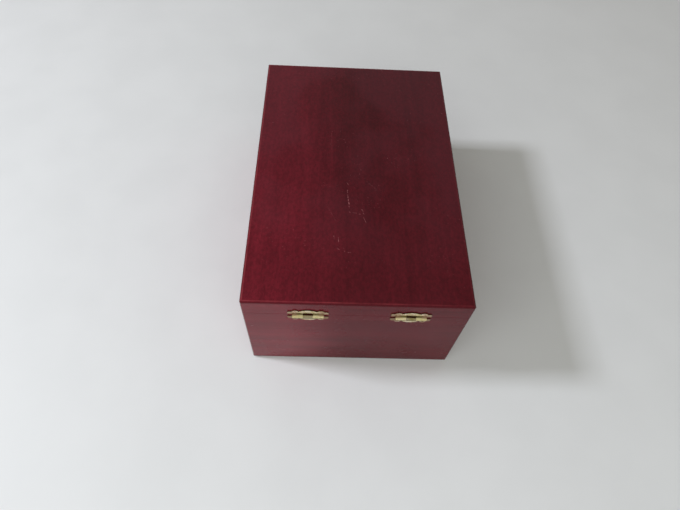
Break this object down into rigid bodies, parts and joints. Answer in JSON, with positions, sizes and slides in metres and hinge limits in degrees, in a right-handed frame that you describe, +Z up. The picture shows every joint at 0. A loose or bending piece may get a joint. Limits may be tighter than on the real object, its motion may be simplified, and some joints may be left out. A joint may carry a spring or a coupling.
{
  "type": "hinged presentation case",
  "caption": "Rectangular wooden display case with mitred walls, a hinged lift-up lid, small brass surface hinges, a swing-hook latch and a padded velvet lining.",
  "frame": {"origin": "centre of the underside of the felt sheet, on the surface that the case stands on", "axes": "+Z up, the front with the latch faces -Y, the hinges are on the back at +Y, +X is to the right of someone facing the front"},
  "size_m": [0.165, 0.2611, 0.1019],
  "materials": {
    "lacquered_wood": "dark cherry satin-gloss lacquer over fine-grained hardwood",
    "bare_wood": "bare sanded wood",
    "felt": "short-pile felt sheet",
    "velvet": "short-pile velvet over padding",
    "brass": "bright-plated pressed brass, lightly worn"
  },
  "bodies": {
    "case": {"case_front_wall": "lacquered_wood", "case_back_wall": "lacquered_wood", "case_left_wall": "lacquered_wood", "case_right_wall": "lacquered_wood", "case_bottom_panel": "bare_wood", "case_corner_splines": "bare_wood", "base_felt": "felt", "lining_front": "velvet", "lining_back": "velvet", "lining_left": "velvet", "lining_right": "velvet", "floor_pad": "velvet", "hinge_left_case_leaf": "brass", "hinge_left_pin": "brass", "hinge_right_case_leaf": "brass", "hinge_right_pin": "brass", "hinge_case_screws": "brass", "latch_hook_plate": "brass", "latch_hook_plate_screws": "brass", "latch_washer": "brass", "latch_pivot": "brass"},
    "lid": {"lid_top_panel": "lacquered_wood", "lid_front_rail": "lacquered_wood", "lid_back_rail": "lacquered_wood", "lid_left_rail": "lacquered_wood", "lid_right_rail": "lacquered_wood", "lid_corner_splines": "bare_wood", "lid_pad": "velvet", "hinge_left_lid_leaf": "brass", "hinge_right_lid_leaf": "brass", "hinge_lid_screws": "brass", "latch_keeper_plate": "brass", "latch_keeper_plate_screws": "brass", "latch_keeper_stud": "brass"},
    "hook": {"latch_hook": "brass"}
  },
  "joints": [
    {"name": "lid_hinge", "type": "hinge", "parent": "case", "child": "lid", "pos_m": [0, 0.12845, 0.08528], "axis": [-1, 0, 0], "range_deg": [0, 180]},
    {"name": "hook_swing", "type": "hinge", "parent": "case", "child": "hook", "pos_m": [0, -0.12965, 0.07827], "axis": [0, -1, 0], "range_deg": [0, 180]}
  ]
}
